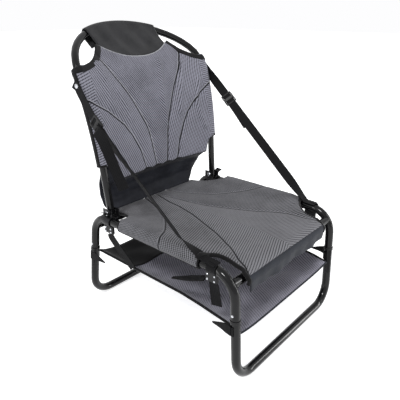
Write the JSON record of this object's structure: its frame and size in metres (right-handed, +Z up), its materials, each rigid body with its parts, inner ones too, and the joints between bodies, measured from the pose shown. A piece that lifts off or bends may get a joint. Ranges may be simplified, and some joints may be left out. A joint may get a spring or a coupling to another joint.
{
  "type": "kayak seat",
  "caption": "Framed kayak seat: tube frame on two floor hoops, padded cushion, storage sling and a mesh backrest that folds forward, held by adjustable straps.",
  "frame": {"origin": "centre of the footprint, on the floor", "axes": "+Z up, the seat faces -Y, +X to the right of someone looking at it from the front"},
  "size_m": [0.4814, 0.623, 0.753],
  "materials": {
    "band_cloth": "blue-grey cloth",
    "black_cloth": "black cloth",
    "black_plastic": "moulded black plastic",
    "bracket_steel": "black coated steel",
    "bright_metal": "bright plated steel",
    "cushion_cloth": "grey ribbed woven cloth",
    "mesh_cloth": "grey woven mesh",
    "tube": "gloss black powder coat",
    "webbing": "black woven webbing"
  },
  "bodies": {
    "frame": {"bracket_tail_left": "webbing", "bracket_tail_right": "webbing", "cushion_front_band": "band_cloth", "front_cross_tube": "tube", "front_leg_hoop": "tube", "front_webbing_left": "webbing", "front_webbing_right": "webbing", "hinge_bolt_left": "bright_metal", "hinge_bolt_right": "bright_metal", "hinge_bracket_left": "bracket_steel", "hinge_bracket_right": "bracket_steel", "leg_collar_front_left": "black_plastic", "leg_collar_front_right": "black_plastic", "leg_collar_rear_left": "black_plastic", "leg_collar_rear_right": "black_plastic", "leg_rivet_front_left": "bright_metal", "leg_rivet_front_right": "bright_metal", "leg_rivet_rear_left": "bright_metal", "leg_rivet_rear_right": "bright_metal", "lumbar_flap": "black_cloth", "rail_bracket_front_left": "black_plastic", "rail_bracket_front_right": "black_plastic", "rail_bracket_rear_left": "black_plastic", "rail_bracket_rear_right": "black_plastic", "rear_cross_tube": "tube", "rear_leg_hoop": "tube", "seat_cushion": "cushion_cloth", "side_rail_left": "tube", "side_rail_right": "tube", "side_strap_left": "webbing", "side_strap_right": "webbing", "sling_strap_front_left": "webbing", "sling_strap_front_right": "webbing", "sling_strap_rear_left": "webbing", "sling_strap_rear_right": "webbing", "storage_sling": "mesh_cloth", "strap_lower_left": "webbing", "strap_lower_right": "webbing"},
    "backrest": {"backrest_hoop": "tube", "hoop_foot_left": "black_plastic", "hoop_foot_right": "black_plastic", "backrest_cover": "mesh_cloth", "head_band": "black_cloth", "strap_rivet_left": "bright_metal", "strap_rivet_right": "bright_metal", "strap_upper_left": "webbing", "strap_upper_right": "webbing", "ladder_lock_left": "black_plastic", "ladder_lock_right": "black_plastic", "strap_tail_left": "webbing", "strap_tail_right": "webbing"}
  },
  "joints": [
    {"name": "backrest_hinge", "type": "hinge", "parent": "frame", "child": "backrest", "pos_m": [0, 0.1223, 0.297], "axis": [1, 0, 0], "range_deg": [0, 75], "deforming": ["strap_lower_left", "strap_lower_right", "strap_upper_left", "strap_upper_right", "ladder_lock_left", "ladder_lock_right", "strap_tail_left", "strap_tail_right", "lumbar_flap"]}
  ]
}
